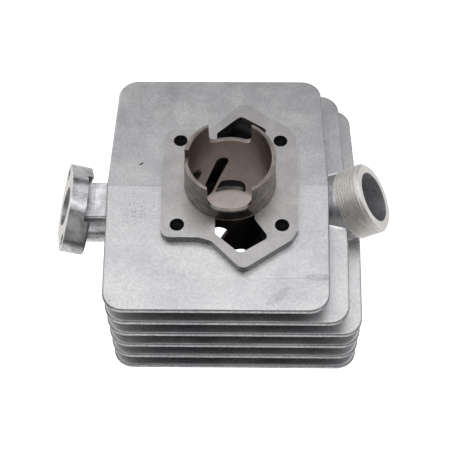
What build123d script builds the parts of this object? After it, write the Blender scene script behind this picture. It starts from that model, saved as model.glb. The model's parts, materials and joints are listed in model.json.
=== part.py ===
from build123d import *
import os
from math import cos, radians, sin

# A single-cylinder two-stroke engine cylinder, crankcase end up.
# Origin: on the bore axis, in the head joint face. +Z points to the crankcase, +X to the exhaust
# and -X to the intake. The casting dies part on the plane Y = 0, so the fins draft away from it.

os.makedirs("parts", exist_ok=True)

# ---- cylinder
bore_d = 40.0                # iron running surface
spigot_d = 44.5              # locating band where the liner stands out of the casting
spigot_band = 6.5            # length of that band
skirt_d = 43.9               # liner beyond the band
liner_d = 45.2               # liner inside the casting, and the hole that it sits in
height = 69.0                # head joint face to crankcase joint face
skirt = 20.6                 # liner standing out of the crankcase joint face
stud_pitch = 50.0            # square pattern of four through studs
stud_hole_d = 7.0
stud_boss_d = 13.6
core_d = 59.0                # solid metal round the liner
edge_break = 0.5             # small machined chamfers

# ---- cooling fins, counted from the crankcase end
fin_pitch = 11.85
first_fin_z = 62.35          # middle plane of the first fin
fin_root = 6.1               # thickness on the parting plane
fin_tip = 2.9                # thickness at the front and back edges
fin_depth = 68.4             # parting plane to the front and back edges
fin_draft = 2.1              # how far each side edge draws in over fin_depth
fin_left = 60.6              # reach on the intake side
fin_right = [48.6, 58.7, 65.8, 65.8, 65.8, 65.8]
fin_corner_r = 10.0
fin_edge_r = 1.1

# ---- crankcase joint pad and transfer passages
pad_thickness = 7.0
pad_draft = 3.0              # degrees
passage_wall = 3.6
transfer_low = 32.8          # head-side edge of the transfer ports
transfer_high = 42.1         # crankcase-side edge of the transfer ports
passage_floor = 30.5
slot_top = (-4.2, 59.0)      # X and Z of the end centres of the slanted slots
slot_bottom = (-12.6, 36.3)
slot_width = 6.5
notch_width = 20.8           # notches in the skirt, front and back
notch_low = 76.0             # end of the notches, just beyond the locating band
notch_r = 4.0
side_notch_width = 8.0
side_notch_depth = 6.0

# ---- exhaust
exhaust_tilt = 34.2          # degrees above the joint plane
exhaust_end = (71.5, 56.5)   # X and Z of the middle of the end face
exhaust_bore_d = 25.4
exhaust_straight = 26.0      # straight length behind the end face
thread_d = 35.8
thread_pitch = 1.5
thread_turns = 8
thread_depth = 0.9
thread_land = 1.0            # plain end in front of the first thread
end_chamfer = 0.6
exhaust_port = (23.0, 13.0)  # width and height of the port in the bore
exhaust_port_z = 35.5
exhaust_wall = 5.3
port_corner_r = 4.5

# ---- intake
intake_tilt = 20.5           # degrees above the joint plane
intake_face = (-83.7, 46.5)  # X and Z of the middle of the flange face
intake_bore_d = 20.0
intake_straight = 12.0       # straight length behind the flange face
intake_stud_pitch = 39.6
intake_stud_d = 6.0
flange_thickness = 8.0
flange_end = 25.3            # middle to each end
lug_length = 11.5            # thickened ends of the flange
lug_depth = 3.4              # how far they stand behind it
intake_port = (27.8, 11.0)
intake_port_z = 58.5
intake_wall = 3.4
runner_top = 53.2            # flat top of the intake runner
runner_flat = (20.6, 2.4)    # width and thickness of the flat strip on top of it
runner_d = 25.0
runner_z = 40.4              # middle of its round part
runner_mid_x = -60.0         # where the passage turns towards the port
tab_width = 30.5             # third fin carried out to the flange
tab_thickness = 3.0

exhaust_axis = Vector(cos(radians(exhaust_tilt)), 0, sin(radians(exhaust_tilt)))
exhaust_plane = Plane((exhaust_end[0], 0, exhaust_end[1]), x_dir=(0, 1, 0), z_dir=exhaust_axis)
intake_axis = Vector(-cos(radians(intake_tilt)), 0, sin(radians(intake_tilt)))
intake_plane = Plane((intake_face[0], 0, intake_face[1]), x_dir=(0, -1, 0), z_dir=intake_axis)
slot_middle = ((slot_top[0] + slot_bottom[0]) / 2, (slot_top[1] + slot_bottom[1]) / 2)
thread_length = thread_turns * thread_pitch + thread_land


def fin(middle, right):
    """One cooling fin: two halves that thin and draw in away from the parting plane."""
    width = fin_left + right
    shift = (right - fin_left) / 2
    with BuildPart() as blank:
        with BuildSketch(Plane.XZ):
            with Locations((shift, middle)):
                Rectangle(width, fin_root)
        with BuildSketch(Plane.XZ.offset(fin_depth)):
            with Locations((shift, middle)):
                Rectangle(width - 2 * fin_draft, fin_tip)
        loft()
        fillet(blank.edges().filter_by(Axis.Z).group_by(Axis.Y)[0], fin_corner_r)
        top = blank.faces().sort_by(Axis.Z)[-1]
        bottom = blank.faces().sort_by(Axis.Z)[0]
        rim = (top.edges() + bottom.edges()).filter_by(lambda edge: edge.center().Y < -0.1)
        fillet(rim, fin_edge_r)
        mirror(about=Plane.XZ)
    return blank.part


def transfer_passage(wall, low, high):
    """The front transfer passage, from the joint pad down to the ports, grown by wall all round."""
    inner = -18.0
    with BuildPart() as duct:
        with BuildSketch(Plane.XY.offset(high)):
            with BuildLine():
                FilletPolyline(
                    (-6.6, inner), (-6.6, -30.0), (5.3, -41.2), (18.9, -32.0), (12.0, -21.5), (12.0, inner),
                    radius=[0, 2.4, 3.0, 2.4, 1.0, 0], close=True,
                )
            make_face()
            if wall:
                offset(amount=wall)
        with BuildSketch(Plane.XY.offset(low)):
            with BuildLine():
                FilletPolyline(
                    (-17.0, inner), (-17.0, -24.0), (-3.0, -29.0), (9.0, -28.5), (11.0, -24.0), (11.0, inner),
                    radius=[0, 2.4, 3.0, 2.4, 1.0, 0], close=True,
                )
            make_face()
            if wall:
                offset(amount=wall)
        loft()
    return duct.part


def exhaust_passage(wall):
    """The exhaust passage from the port to the straight round end, grown by wall all round."""
    with BuildPart() as duct:
        with BuildSketch(Plane.YZ.offset(bore_d / 2)):
            with Locations((0, exhaust_port_z)):
                RectangleRounded(exhaust_port[0] + 2 * wall, exhaust_port[1] + 2 * wall, port_corner_r + wall / 2)
        with BuildSketch(exhaust_plane.offset(-exhaust_straight)):
            Circle(exhaust_bore_d / 2 + wall)
        loft()
    return duct.part


def flange_outline():
    """The two-stud intake flange: a diamond with a round hub and round ends."""
    with BuildSketch(intake_plane) as outline:
        with BuildLine():
            FilletPolyline(
                (flange_end, -3.5), (flange_end, 3.5), (7.5, 15.0), (-7.5, 15.0),
                (-flange_end, 3.5), (-flange_end, -3.5), (-7.5, -15.0), (7.5, -15.0),
                radius=[6, 6, 10, 10, 6, 6, 10, 10], close=True,
            )
        make_face()
    return outline.sketch


def intake_passage():
    """The intake passage: behind the flange's straight bore it turns, and widens up to the port."""
    with BuildPart() as duct:
        with BuildSketch(intake_plane.offset(2)):
            Circle(intake_bore_d / 2)
        extrude(amount=-intake_straight - 2)
        with BuildSketch(intake_plane.offset(-intake_straight)):
            Circle(intake_bore_d / 2)
        with BuildSketch(Plane.YZ.offset(runner_mid_x)):
            with Locations((0, runner_z)):
                Circle(intake_bore_d / 2 - 0.3)
        loft()
        with BuildSketch(Plane.YZ.offset(runner_mid_x)):
            with Locations((0, runner_z)):
                Circle(intake_bore_d / 2 - 0.3)
        with BuildSketch(Plane.YZ.offset(-bore_d / 2)):
            with Locations((0, intake_port_z)):
                RectangleRounded(*intake_port, port_corner_r)
        loft()
    return duct.part


# ---- intake runner and flange
with BuildPart() as intake_side:
    with BuildSketch(Plane.YZ.offset(runner_mid_x + 2)):
        with Locations((0, runner_z)):
            Circle(runner_d / 2)
    with BuildSketch(Plane.YZ.offset(-bore_d / 2)):
        with Locations((0, intake_port_z)):
            RectangleRounded(intake_port[0] + 2 * intake_wall, intake_port[1] + 2 * intake_wall, 6)
    loft()
    with BuildSketch(Plane.YZ.offset(4 - core_d / 2)):
        with Locations((0, runner_z)):
            Circle(runner_d / 2)
        with Locations((0, runner_top - runner_flat[1] / 2)):
            RectangleRounded(*runner_flat, 0.8)
    extrude(amount=-60)
    with BuildSketch(Plane.XY.offset(first_fin_z - 2 * fin_pitch)):
        with Locations((-70, 0)):
            RectangleRounded(36, tab_width, 2)
    extrude(amount=tab_thickness / 2, both=True)
    split(bisect_by=intake_plane.offset(-flange_thickness / 2), keep=Keep.BOTTOM)
    extrude(flange_outline(), amount=-flange_thickness)

with BuildPart() as lugs:
    with BuildSketch(intake_plane.offset(-flange_thickness / 2)):
        with GridLocations(2 * flange_end - lug_length, 1, 2, 1):
            Rectangle(lug_length, flange_end)
    extrude(amount=-flange_thickness / 2 - lug_depth)
    extrude(flange_outline(), amount=-2 * flange_thickness, mode=Mode.INTERSECT)
    back = lugs.faces().filter_by(lambda face: face.normal_at().dot(intake_axis) < -0.99)
    fillet(back.edges(), 1.2)

# ---- exhaust neck and its threaded end
with BuildPart() as exhaust_side:
    add(exhaust_passage(exhaust_wall))
    with BuildSketch(exhaust_plane.offset(-exhaust_straight)):
        Circle(exhaust_bore_d / 2 + exhaust_wall)
    with BuildSketch(exhaust_plane.offset(-thread_length)):
        Circle(thread_d / 2 - thread_depth)
    loft()
    profile_plane = Plane(exhaust_plane.origin, x_dir=exhaust_axis, z_dir=(0, -1, 0))
    crest = thread_d / 2
    root = crest - thread_depth
    start = -thread_length
    ridge = []
    for turn in range(thread_turns):
        ridge.append((start + turn * thread_pitch, root))
        ridge.append((start + (turn + 0.42) * thread_pitch, crest))
        ridge.append((start + (turn + 0.58) * thread_pitch, crest))
    with BuildSketch(profile_plane):
        with BuildLine():
            Polyline(
                (start, 0), *ridge, (-thread_land, root), (-end_chamfer, root), (0, root - end_chamfer), (0, 0),
                close=True,
            )
        make_face()
    revolve(axis=Axis(exhaust_plane.origin, exhaust_axis))

with BuildPart() as barrel:
    # core and stud tunnels
    with BuildSketch():
        Circle(core_d / 2)
        with GridLocations(stud_pitch, stud_pitch, 2, 2):
            Circle(stud_boss_d / 2)
    extrude(amount=height - 1)
    for number, reach in enumerate(fin_right):
        add(fin(first_fin_z - number * fin_pitch, reach))
    # crankcase joint pad
    with BuildSketch(Plane.XY.offset(height)):
        with BuildLine():
            FilletPolyline(
                (33.6, 0), (32.7, 27.0), (29.6, 33.0), (6.2, 49.6), (-8.4, 34.0), (-14.5, 32.0),
                (-32.6, 32.0), (-33.7, 0), (-32.6, -32.0), (-14.5, -32.0), (-8.4, -34.0),
                (6.2, -49.6), (29.6, -33.0), (32.7, -27.0),
                radius=[0, 3, 3, 4, 5, 6, 5, 0, 5, 6, 5, 4, 3, 3], close=True,
            )
        make_face()
    extrude(amount=-pad_thickness, taper=-pad_draft)
    # walls cast round the transfer passages, and the two side passages
    front_wall = transfer_passage(passage_wall, passage_floor - passage_wall, height - 4)
    add(front_wall)
    add(front_wall.mirror(Plane.XZ))
    add(intake_side.part)
    add(lugs.part)
    add(exhaust_side.part)
    # hole for the liner, the passages and the stud holes
    with Locations((0, 0, height / 2)):
        Cylinder(liner_d / 2, height + 10, mode=Mode.SUBTRACT)
    front_passage = transfer_passage(0, passage_floor, height + 1)
    add(front_passage, mode=Mode.SUBTRACT)
    add(front_passage.mirror(Plane.XZ), mode=Mode.SUBTRACT)
    add(exhaust_passage(0), mode=Mode.SUBTRACT)
    with BuildSketch(exhaust_plane.offset(-exhaust_straight)):
        Circle(exhaust_bore_d / 2)
    extrude(amount=exhaust_straight + 2, mode=Mode.SUBTRACT)
    add(intake_passage(), mode=Mode.SUBTRACT)
    with BuildSketch(intake_plane.offset(2)):
        with GridLocations(intake_stud_pitch, 1, 2, 1):
            Circle(intake_stud_d / 2)
    extrude(amount=-flange_thickness - lug_depth - 4, mode=Mode.SUBTRACT)
    with BuildSketch(Plane.XY.offset(-1)):
        with GridLocations(stud_pitch, stud_pitch, 2, 2):
            Circle(stud_hole_d / 2)
    extrude(amount=height + 2, mode=Mode.SUBTRACT)

with BuildPart() as liner:
    with BuildSketch():
        Circle(liner_d / 2)
    extrude(amount=height)
    with BuildSketch(Plane.XY.offset(height)):
        Circle(spigot_d / 2)
    extrude(amount=spigot_band)
    with BuildSketch(Plane.XY.offset(height + spigot_band)):
        Circle(skirt_d / 2)
    extrude(amount=skirt - spigot_band)
    with BuildSketch():
        Circle(bore_d / 2)
    extrude(amount=height + skirt, mode=Mode.SUBTRACT)
    mouth = liner.faces().sort_by(Axis.Z)[-1].edges().sort_by(SortBy.RADIUS)[0]
    chamfer(mouth, edge_break)
    # transfer ports and the slanted boost slots beside them, front and back alike
    with BuildSketch(Plane.XZ):
        with BuildLine():
            FilletPolyline(
                (-8.6, transfer_low), (-5.2, transfer_high), (7.8, transfer_high), (7.8, transfer_low),
                radius=[1.2, 3.0, 3.5, 1.8], close=True,
            )
        make_face()
        SlotCenterPoint(slot_middle, slot_top, slot_width)
    extrude(amount=liner_d, both=True, mode=Mode.SUBTRACT)
    with BuildSketch(Plane.YZ):
        with Locations((0, exhaust_port_z)):
            RectangleRounded(*exhaust_port, port_corner_r)
    extrude(amount=liner_d, mode=Mode.SUBTRACT)
    with BuildSketch(Plane.YZ):
        with Locations((0, intake_port_z)):
            RectangleRounded(*intake_port, intake_port[1] / 2 - 0.1)
    extrude(amount=-liner_d, mode=Mode.SUBTRACT)
    # transfer notches in the skirt, and the small notch on the intake side
    with BuildSketch(Plane.XZ):
        with BuildLine():
            FilletPolyline(
                (-notch_width / 2, notch_low), (notch_width / 2, notch_low),
                (notch_width / 2, height + skirt + 1), (-notch_width / 2, height + skirt + 1),
                radius=[notch_r, notch_r, 0, 0], close=True,
            )
        make_face()
    extrude(amount=liner_d, both=True, mode=Mode.SUBTRACT)
    with BuildSketch(Plane.YZ):
        with Locations((0, height + skirt)):
            Rectangle(side_notch_width, 2 * side_notch_depth)
    extrude(amount=-liner_d, mode=Mode.SUBTRACT)

for name, piece in (("barrel", barrel), ("liner", liner)):
    piece.part.label = name
    export_step(piece.part, f"parts/{name}.step")
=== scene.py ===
import bpy
import json
from math import cos, pi, radians, sin
from mathutils import Matrix, Vector


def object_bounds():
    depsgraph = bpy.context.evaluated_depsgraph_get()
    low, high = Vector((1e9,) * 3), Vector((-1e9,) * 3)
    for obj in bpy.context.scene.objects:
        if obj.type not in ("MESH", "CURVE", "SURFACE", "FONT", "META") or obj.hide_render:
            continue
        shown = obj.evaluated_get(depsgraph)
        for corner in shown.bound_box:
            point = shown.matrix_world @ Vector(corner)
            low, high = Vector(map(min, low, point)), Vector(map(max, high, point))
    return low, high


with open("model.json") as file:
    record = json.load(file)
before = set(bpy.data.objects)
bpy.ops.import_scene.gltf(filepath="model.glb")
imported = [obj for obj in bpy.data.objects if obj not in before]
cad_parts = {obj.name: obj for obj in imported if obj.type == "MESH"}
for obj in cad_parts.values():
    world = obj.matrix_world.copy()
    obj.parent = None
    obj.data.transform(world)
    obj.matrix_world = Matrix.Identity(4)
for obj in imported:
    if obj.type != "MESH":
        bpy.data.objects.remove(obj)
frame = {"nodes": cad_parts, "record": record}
cad_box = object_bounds()

# ---- the frame's own measures, in metres
mounts = {mount["name"]: mount for mount in frame["record"]["mounts"]}
barrel = frame["nodes"]["barrel"]
liner = frame["nodes"]["liner"]
joint_face_z = mounts["crankcase_face"]["pos_m"][2]
bore_r = mounts["cylinder_bore"]["dims"]["r_mm"] / 1000
exhaust_axis = Vector(mounts["exhaust_thread"]["axis"])
exhaust_end = Vector(mounts["exhaust_bore"]["pos_m"]) + 0.002 * exhaust_axis
exhaust_bore_r = mounts["exhaust_bore"]["dims"]["r_mm"] / 1000
thread_r = mounts["exhaust_thread"]["dims"]["r_mm"] / 1000
intake_axis = Vector(mounts["intake_bore"]["axis"])
intake_end = Vector(mounts["intake_bore"]["pos_m"]) + 0.002 * intake_axis
intake_bore_r = mounts["intake_bore"]["dims"]["r_mm"] / 1000

# ---- the casting's measures that no mount gives
thread_length = 0.0129
neck_r = 0.0184
neck_start = 0.027           # behind the exhaust's end face
core_r = 0.0295
passage_r = 0.0306           # the walls round the liner lie within this
transfer_half_x = 0.02025    # and those of the transfer passages within these
transfer_half_y = 0.04225
pad_wall_height = 0.0039
flange_depth = 0.012         # the flange and the thickened ends behind it
fin_end_x = -0.0635          # just past the intake side's fin ends
runner_start_x = -0.06275
first_fin_top = 0.0654
second_fin_top = 0.0535


# ---- camera: above and in front of the joint face, looking down at it
def make_camera():
    elevation = radians(57.38)
    azimuth = radians(1.76)
    roll = radians(-1.17)
    distance = 0.4887
    target = Vector((-0.0021, -0.0251, joint_face_z))
    back = Vector((sin(azimuth) * cos(elevation), -cos(azimuth) * cos(elevation), sin(elevation)))
    level = Vector((cos(azimuth), sin(azimuth), 0))
    upright = back.cross(level)
    right = cos(roll) * level + sin(roll) * upright
    up = cos(roll) * upright - sin(roll) * level
    data = bpy.data.cameras.new("camera")
    data.lens = 82.3
    camera = bpy.data.objects.new("camera", data)
    turn = Matrix((right, up, back)).transposed().to_4x4()
    camera.matrix_world = Matrix.Translation(target + distance * back) @ turn
    bpy.context.scene.collection.objects.link(camera)
    bpy.context.scene.camera = camera


# ---- lights and floor
def make_light(name, place, aim, size, radiance):
    """A white softbox of the given radiance."""
    data = bpy.data.lights.new(name, "AREA")
    data.shape = "RECTANGLE"
    data.size, data.size_y = size
    data.energy = radiance * pi * size[0] * size[1]
    light = bpy.data.objects.new(name, data)
    light.location = place
    light.rotation_euler = (Vector(aim) - Vector(place)).to_track_quat("-Z", "Y").to_euler()
    bpy.context.scene.collection.objects.link(light)


def make_floor(name, glow, seen):
    """A pale floor just under the object: seen by the camera, or only by the metal that mirrors it."""
    mesh = bpy.data.meshes.new(name)
    half = 3.0
    floor_gap = 0.0002
    corners = [(-half, -half, 0), (half, -half, 0), (half, half, 0), (-half, half, 0)]
    mesh.from_pydata(corners, [], [(0, 1, 2, 3)])
    floor = bpy.data.objects.new(name, mesh)
    floor.location.z = cad_box[0][2] - floor_gap
    bpy.context.scene.collection.objects.link(floor)
    material = bpy.data.materials.new(name)
    material.use_nodes = True
    shader = material.node_tree.nodes["Principled BSDF"]
    shader.inputs["Base Color"].default_value = (0.8, 0.8, 0.8, 1)
    shader.inputs["Roughness"].default_value = 0.9
    shader.inputs["Emission Color"].default_value = (1, 1, 1, 1)
    shader.inputs["Emission Strength"].default_value = glow
    mesh.materials.append(material)
    floor.visible_camera = seen
    floor.visible_glossy = not seen
    floor.visible_diffuse = not seen
    floor.visible_shadow = not seen


def make_world():
    """A dark studio beyond the softboxes."""
    world = bpy.data.worlds.new("studio")
    world.use_nodes = True
    background = world.node_tree.nodes["Background"]
    background.inputs["Color"].default_value = (1, 1, 1, 1)
    background.inputs["Strength"].default_value = 0.02
    bpy.context.scene.world = world


# ---- materials
class Graph:
    """A material's node tree, with short calls for the nodes used here."""

    def __init__(self, name):
        self.material = bpy.data.materials.new(name)
        self.material.use_nodes = True
        self.tree = self.material.node_tree
        self.shader = self.tree.nodes["Principled BSDF"]
        self.place = self.tree.nodes.new("ShaderNodeTexCoord").outputs["Object"]
        split = self.tree.nodes.new("ShaderNodeSeparateXYZ")
        self.feed(split.inputs[0], self.place)
        self.x, self.y, self.z = split.outputs
        facing = self.tree.nodes.new("ShaderNodeSeparateXYZ")
        self.feed(facing.inputs[0], self.tree.nodes.new("ShaderNodeTexCoord").outputs["Normal"])
        self.facing_x = facing.outputs[0]
        self.facing_z = facing.outputs[2]

    def feed(self, socket, value):
        if isinstance(value, bpy.types.NodeSocket):
            self.tree.links.new(value, socket)
        elif isinstance(value, tuple) and len(value) == 3 and socket.type == "RGBA":
            socket.default_value = (*value, 1)
        else:
            socket.default_value = value

    def math(self, operation, a, b=0.0, c=0.0):
        node = self.tree.nodes.new("ShaderNodeMath")
        node.operation = operation
        for socket, value in zip(node.inputs, (a, b, c)):
            self.feed(socket, value)
        return node.outputs[0]

    def vector(self, operation, a, b=(0, 0, 0), result=0):
        node = self.tree.nodes.new("ShaderNodeVectorMath")
        node.operation = operation
        self.feed(node.inputs[0], a)
        self.feed(node.inputs[1], b)
        return node.outputs[result]

    def ramp(self, value, low, high):
        """A smooth step: 0 where value is low, and 1 where it is high."""
        node = self.tree.nodes.new("ShaderNodeMapRange")
        node.interpolation_type = "SMOOTHSTEP"
        for socket, number in zip(node.inputs, (value, low, high)):
            self.feed(socket, number)
        return node.outputs[0]

    def beyond(self, value, edge, blur=0.0002):
        """1 where value is more than edge, and 0 where it is less."""
        return self.ramp(value, edge - blur / 2, edge + blur / 2)

    def within(self, value, edge, blur=0.0002):
        """1 where value is less than edge, and 0 where it is more."""
        return self.ramp(value, edge + blur / 2, edge - blur / 2)

    def size_of(self, value):
        return self.math("ABSOLUTE", value)

    def noise(self, size, detail, rough, place=None, distortion=0.0):
        """Noise from 0 to 1 whose features are about size metres across."""
        node = self.tree.nodes.new("ShaderNodeTexNoise")
        self.feed(node.inputs["Vector"], place or self.place)
        self.feed(node.inputs["Scale"], 1 / size)
        self.feed(node.inputs["Detail"], detail)
        self.feed(node.inputs["Roughness"], rough)
        self.feed(node.inputs["Distortion"], distortion)
        return node.outputs[0]

    def cells(self, size):
        """The distance to the nearest point of a scatter, in cells of size metres."""
        node = self.tree.nodes.new("ShaderNodeTexVoronoi")
        self.feed(node.inputs["Vector"], self.place)
        self.feed(node.inputs["Scale"], 1 / size)
        return node.outputs["Distance"]

    def mix(self, factor, a, b):
        node = self.tree.nodes.new("ShaderNodeMix")
        node.data_type = "RGBA"
        self.feed(node.inputs[0], factor)
        self.feed(node.inputs[6], a)
        self.feed(node.inputs[7], b)
        return node.outputs[2]

    def lerp(self, factor, a, b):
        node = self.tree.nodes.new("ShaderNodeMix")
        self.feed(node.inputs[0], factor)
        self.feed(node.inputs[2], a)
        self.feed(node.inputs[3], b)
        return node.outputs[0]

    def bump(self, height, distance):
        """The normal of a relief of height 0 to 1 that is distance metres deep."""
        node = self.tree.nodes.new("ShaderNodeBump")
        self.feed(node.inputs["Height"], height)
        self.feed(node.inputs["Strength"], 1.0)
        self.feed(node.inputs["Distance"], distance)
        return node.outputs[0]

    def edges(self, radius):
        """1 along the sharp rims and creases, and 0 elsewhere; it masks a painted highlight."""
        bevel = self.tree.nodes.new("ShaderNodeBevel")
        bevel.samples = 4
        bevel.inputs["Radius"].default_value = radius
        geometry = self.tree.nodes.new("ShaderNodeNewGeometry")
        match = self.vector("DOT_PRODUCT", bevel.outputs[0], geometry.outputs["Normal"], result="Value")
        return self.ramp(match, 0.995, 0.90)

    def along(self, point, axis):
        """How far a place lies beyond point along axis."""
        from_point = self.vector("SUBTRACT", self.place, tuple(point))
        return self.vector("DOT_PRODUCT", from_point, tuple(axis), result="Value")

    def from_axis(self, point, axis):
        """How far a place lies from the line through point along axis."""
        from_point = self.vector("SUBTRACT", self.place, tuple(point))
        across = self.vector("CROSS_PRODUCT", from_point, tuple(axis))
        return self.vector("LENGTH", across, result="Value")

    def spot(self, middle, sizes, turn):
        """1 inside an ellipsoid of these half sizes, turned by turn degrees about Z, and 0 outside it."""
        node = self.tree.nodes.new("ShaderNodeMapping")
        node.vector_type = "TEXTURE"
        self.feed(node.inputs["Vector"], self.place)
        self.feed(node.inputs["Location"], middle)
        self.feed(node.inputs["Rotation"], (0, 0, radians(turn)))
        self.feed(node.inputs["Scale"], sizes)
        return self.ramp(self.vector("LENGTH", node.outputs[0], result="Value"), 1.0, 0.7)

    def stretched(self, sizes):
        """The place, with each axis scaled, for streaks."""
        return self.vector("MULTIPLY", self.place, sizes)


def both(graph, a, b):
    return graph.math("MULTIPLY", a, b)


def either(graph, a, b):
    return graph.math("MAXIMUM", a, b)


def shaded(graph, colour, tones):
    """A colour times some tones: each is a mask, with its factor where that is 0 and where it is 1."""
    product = 1.0
    for mask, where_off, where_on in tones:
        product = both(graph, product, graph.lerp(mask, where_off, where_on))
    result = graph.vector("SCALE", colour)
    graph.feed(result.node.inputs["Scale"], product)
    return result


def fin_marks(g, grain, blotch):
    """Wear on the first two fins: a nick, patches of dark specks, a smeared line and a shaded patch."""
    depth = 0.003
    top = first_fin_top
    nick = g.spot((-0.0444, 0.0134, top), (0.0015, 0.00065, depth), 38)
    specks = g.ramp(g.cells(0.0013), 0.34, 0.20)
    left_patch = g.spot((-0.0455, -0.0160, top), (0.0085, 0.0080, depth), 10)
    back_patch = g.spot((0.0494, 0.0371, second_fin_top), (0.0026, 0.0030, depth), 0)
    smear = g.spot((0.0417, -0.0507, top), (0.0080, 0.0024, depth), 0)
    stain = both(g, either(g, left_patch, back_patch), specks)
    stain = either(g, stain, both(g, smear, g.ramp(grain, 0.40, 0.60)))
    line = both(g, g.spot((0.0280, -0.0513, top), (0.0170, 0.0005, depth), 1), g.ramp(grain, 0.35, 0.50))
    patch = g.spot((0.0224, -0.0610, top), (0.0090, 0.0032, depth), 40)
    shade = either(g, line, both(g, patch, g.ramp(blotch, 0.35, 0.55)))
    return nick, stain, shade


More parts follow.
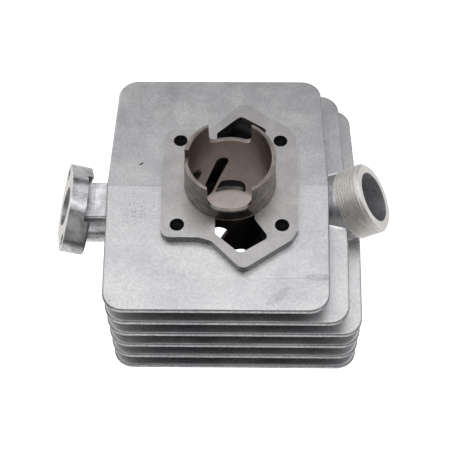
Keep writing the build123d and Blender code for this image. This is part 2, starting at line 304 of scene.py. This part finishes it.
def aluminium():
    """Die-cast metal with a grainy skin, and smoother, warmer metal where it has been machined."""
    g = Graph("cast_aluminium")
    exhaust_t = g.along(exhaust_end, exhaust_axis)
    exhaust_r = g.from_axis(exhaust_end, exhaust_axis)
    intake_t = g.along(intake_end, intake_axis)
    intake_r = g.from_axis(intake_end, intake_axis)
    from_bore = g.from_axis((0, 0, 0), (0, 0, 1))
    upright = g.within(g.size_of(g.facing_z), 0.5, 0.2)

    # where it is machined: the two joint faces, the turned exhaust end and the intake face
    joint_face = g.beyond(g.z, joint_face_z - 0.00015, 0.0001)
    head_face = g.within(g.z, 0.00015, 0.0001)
    thread = both(g, g.beyond(exhaust_r, exhaust_bore_r + 0.0002), g.within(exhaust_r, thread_r + 0.0005))
    thread = both(g, thread, g.beyond(exhaust_t, -thread_length - 0.00005, 0.0001))
    turned = either(g, thread, g.beyond(intake_t, -0.00015, 0.0001))
    machined = either(g, either(g, joint_face, head_face), turned)

    # the passages and ducts inside the casting, for painted shade in the passages and painted light in the
    # ducts
    round_liner = g.within(from_bore, passage_r, 0.0004)
    round_liner = both(g, round_liner, g.within(g.z, joint_face_z - 0.0007, 0.0006))
    in_transfer = g.within(g.size_of(g.y), transfer_half_y, 0.0005)
    in_transfer = both(g, in_transfer, g.within(g.size_of(g.x), transfer_half_x, 0.0005))
    in_transfer = both(g, in_transfer, g.within(g.z, first_fin_top - 0.0031, 0.0046))
    in_exhaust = g.within(exhaust_r, exhaust_bore_r + 0.0002)
    in_intake = both(g, g.within(intake_r, intake_bore_r + 0.0002), g.within(intake_t, -0.0003))
    in_ducts = either(g, in_exhaust, in_intake)
    inside = either(g, either(g, round_liner, in_transfer), in_ducts)

    # parts of the skin: painted shade on the pad's wall and the fins' sides, painted light on the neck and
    # runner, the flange streaked and painted lighter
    painted_pad_wall_shade = both(g, upright, g.beyond(g.z, joint_face_z - pad_wall_height))
    painted_fin_side_shade = both(g, g.beyond(g.size_of(g.facing_x), 0.55, 0.4), g.beyond(g.x, fin_end_x, 0.001))
    painted_fin_side_shade = both(g, painted_fin_side_shade, g.beyond(exhaust_r, neck_r + 0.0001, 0.0006))
    # painted light on the exhaust neck and, below, on the intake runner
    painted_neck_light = both(g, g.beyond(exhaust_t, -neck_start, 0.006), g.within(exhaust_r, neck_r, 0.0004))
    painted_neck_light = both(g, painted_neck_light, g.beyond(exhaust_r, exhaust_bore_r + 0.00045, 0.0003))
    painted_runner_light = both(g, g.within(g.x, runner_start_x, 0.0015), g.within(intake_t, -flange_depth - 0.0003))
    # the flange behind the intake face: mottled, and painted lighter as a whole
    flange_mottle_and_light = both(g, g.beyond(intake_t, -flange_depth), g.beyond(intake_r, intake_bore_r + 0.00025, 0.0003))

    # the skin's texture, with painted glints in the exhaust bore and a painted highlight along the sharp
    # rims
    cloud = g.noise(0.034, 4, 0.6)
    blotch = g.noise(0.009, 5, 0.62)
    grain = g.noise(0.0013, 4, 0.75)
    fine = g.noise(0.0005, 2, 0.6)
    streak = g.noise(0.006, 3, 0.6, g.stretched((0.16, 1.0, 1.0)))
    pits = both(g, g.ramp(g.cells(0.0042), 0.085, 0.03), g.ramp(g.noise(0.013, 2, 0.5), 0.56, 0.66))
    scratches = g.ramp(g.noise(0.0016, 2, 0.4, g.stretched((0.06, 1.3, 1.0)), 0.6), 0.70, 0.78)
    # painted glints: rough patches in the exhaust bore
    painted_exhaust_glints = both(g, in_exhaust, g.ramp(g.noise(0.0028, 4, 0.7), 0.57, 0.66))
    parting = both(g, g.within(g.size_of(g.y), 0.00021, 0.00018), g.ramp(grain, 0.25, 0.45))
    parting = both(g, parting, g.beyond(from_bore, core_r + 0.0005, 0.001))
    nick, stain, shade = fin_marks(g, grain, blotch)
    # mask for a painted highlight along the sharp rims
    edges = g.edges(0.0006)

    # painted shade for the passages: 0.24 near the joint face, 0.09 deeper in
    passage_painted_shade = g.lerp(g.ramp(g.z, 0.050, 0.044), 0.24, 0.09)
    cast_colour = g.mix(g.ramp(cloud, 0.35, 0.7), (0.60, 0.60, 0.625), (0.64, 0.635, 0.64))
    cast_colour = shaded(g, cast_colour, [
        (g.ramp(cloud, 0.3, 0.7), 0.93, 1.04),
        (upright, 1.0, g.lerp(g.ramp(grain, 0.35, 0.65), 0.80, 1.18)),
        (shade, 1.0, 0.82),
        (g.ramp(blotch, 0.3, 0.7), 0.94, 1.03),
        (g.ramp(grain, 0.35, 0.65), 0.88, 1.07),
        # the flange's mottle, with painted light lifting it up to 1.35 times
        (flange_mottle_and_light, 1.0, g.lerp(g.ramp(blotch, 0.35, 0.6), 0.85, 1.35)),
        # painted shade: the pad's wall and the fins' sides darkened to 0.58
        (either(g, painted_pad_wall_shade, painted_fin_side_shade), 1.0, 0.58),
        # painted light: the neck 1.25 to 1.65 times lighter, the runner 1.05 to 1.5 times
        (painted_neck_light, 1.0, g.lerp(g.ramp(blotch, 0.3, 0.6), 1.25, 1.65)),
        (painted_runner_light, 1.0, g.lerp(g.ramp(blotch, 0.4, 0.6), 1.05, 1.5)),
        (parting, 1.0, g.lerp(g.ramp(g.x, -0.01, 0.01), 0.74, 1.12)),
        (scratches, 1.0, 1.10),
        (nick, 1.0, 0.18),
        (stain, 1.0, 0.60),
        (g.ramp(streak, 0.3, 0.7), 0.97, 1.03),
        (pits, 1.0, 0.35),
        # painted highlight: sharp rims 1.2 times lighter
        (edges, 1.0, 1.2),
        # painted shade in the passages round the liner, and painted light in the exhaust and intake bores
        (inside, 1.0, g.lerp(in_ducts, passage_painted_shade, 1.25)),
        # painted glints in the exhaust bore, 1.6 times lighter
        (painted_exhaust_glints, 1.0, 1.6),
    ])
    cast_rough = g.lerp(g.ramp(blotch, 0.3, 0.7), 0.38, 0.46)
    cast_rough = g.math("SUBTRACT", cast_rough, both(g, edges, 0.08))
    relief = g.math("ADD", both(g, grain, 0.55), both(g, fine, 0.3))
    relief = g.math("SUBTRACT", relief, both(g, pits, 1.2))

    # machined metal: fine cutter lines and speckle
    lines = g.noise(0.0006, 2, 0.5, g.stretched((0.05, 1.0, 1.0)))
    speckle = g.noise(0.0013, 4, 0.7)
    pad_colour = g.mix(g.ramp(blotch, 0.3, 0.7), (0.425, 0.414, 0.412), (0.51, 0.495, 0.492))
    turned_colour = g.mix(g.ramp(blotch, 0.3, 0.7), (0.80, 0.775, 0.75), (0.87, 0.845, 0.82))
    face_colour = shaded(g, g.mix(turned, pad_colour, turned_colour), [
        (g.ramp(speckle, 0.3, 0.7), 0.90, 1.06),
        (g.ramp(cloud, 0.35, 0.65), 0.93, 1.05),
        (g.ramp(lines, 0.35, 0.65), 0.985, 1.015),
        # painted highlight: sharp rims 1.1 times lighter
        (edges, 1.0, 1.1),
    ])
    face_relief = g.math("ADD", both(g, lines, 0.25), both(g, speckle, 0.2))

    g.feed(g.shader.inputs["Base Color"], g.mix(machined, cast_colour, face_colour))
    g.feed(g.shader.inputs["Roughness"], g.lerp(machined, cast_rough, g.lerp(thread, 0.40, 0.5)))
    g.feed(g.shader.inputs["Normal"], g.bump(g.lerp(machined, relief, face_relief), 0.00009))
    g.feed(g.shader.inputs["Metallic"], 1.0)
    return g.material


def iron():
    """Grey iron: turned outside, honed in the bore."""
    g = Graph("liner_iron")
    radius = g.from_axis((0, 0, 0), (0, 0, 1))
    turned = g.beyond(radius, bore_r + 0.0003)
    rings = g.noise(0.0005, 2, 0.5, g.stretched((0.02, 0.02, 1.0)))
    blotch = g.noise(0.008, 4, 0.6)
    grain = g.noise(0.0009, 4, 0.7)
    stains = both(g, turned, g.ramp(g.noise(0.004, 5, 0.7), 0.38, 0.58))
    sweep = both(g, g.math("ARCTAN2", g.y, g.x), bore_r)
    hone = []
    for lean in (0.45, -0.45):
        slope = g.math("ADD", g.z, both(g, sweep, lean))
        node = g.tree.nodes.new("ShaderNodeCombineXYZ")
        g.feed(node.inputs["Z"], slope)
        hone.append(g.noise(0.0004, 2, 0.5, node.outputs[0]))
    crosshatch = g.math("MINIMUM", hone[0], hone[1])
    edges = g.edges(0.0005)
    # the bore turns from dark brown to light pinkish grey between 36 and 29 mm from the head face
    bore_lighter_towards_head = g.ramp(g.z, 0.036, 0.029)
    bore_colour = g.mix(bore_lighter_towards_head, (0.38, 0.335, 0.315), (0.90, 0.80, 0.76))
    colour = shaded(g, g.mix(turned, bore_colour, (0.33, 0.30, 0.28)), [
        (g.ramp(blotch, 0.3, 0.7), 0.90, 1.08),
        (g.ramp(grain, 0.3, 0.7), 0.92, 1.07),
        (both(g, turned, g.ramp(rings, 0.35, 0.65)), 1.0, 1.08),
        (stains, 1.0, 0.62),
        # painted highlight: sharp rims 1.3 times lighter
        (edges, 1.0, 1.3),
    ])
    relief = g.lerp(turned, crosshatch, g.math("ADD", both(g, rings, 0.7), both(g, grain, 0.3)))
    g.feed(g.shader.inputs["Base Color"], colour)
    g.feed(g.shader.inputs["Roughness"], g.lerp(turned, 0.36, 0.42))
    g.feed(g.shader.inputs["Normal"], g.bump(relief, 0.00004))
    g.feed(g.shader.inputs["Metallic"], 1.0)
    return g.material


def give_material(piece, material):
    piece.data.materials.clear()
    piece.data.materials.append(material)


make_camera()
make_floor("floor_white", 1.0, True)
make_floor("floor_bounce", 0.3, False)
make_world()
make_light("overhead", (0.12, 0.22, 1.2), (0.12, 0.22, 0), (2.4, 1.37), 1.45)
make_light("left_side", (-1.05, 1.05, 0.5), (0, 0, 0.05), (1.6, 0.9), 1.2)
make_light("front", (-0.35, -1.5, 0.36), (0, 0, 0.05), (1.9, 0.6), 0.24)
make_light("right_side", (1.25, 0.75, 0.5), (0, 0, 0.05), (1.6, 0.9), 0.7)
give_material(barrel, aluminium())
give_material(liner, iron())
bpy.context.scene.view_settings.view_transform = "Standard"
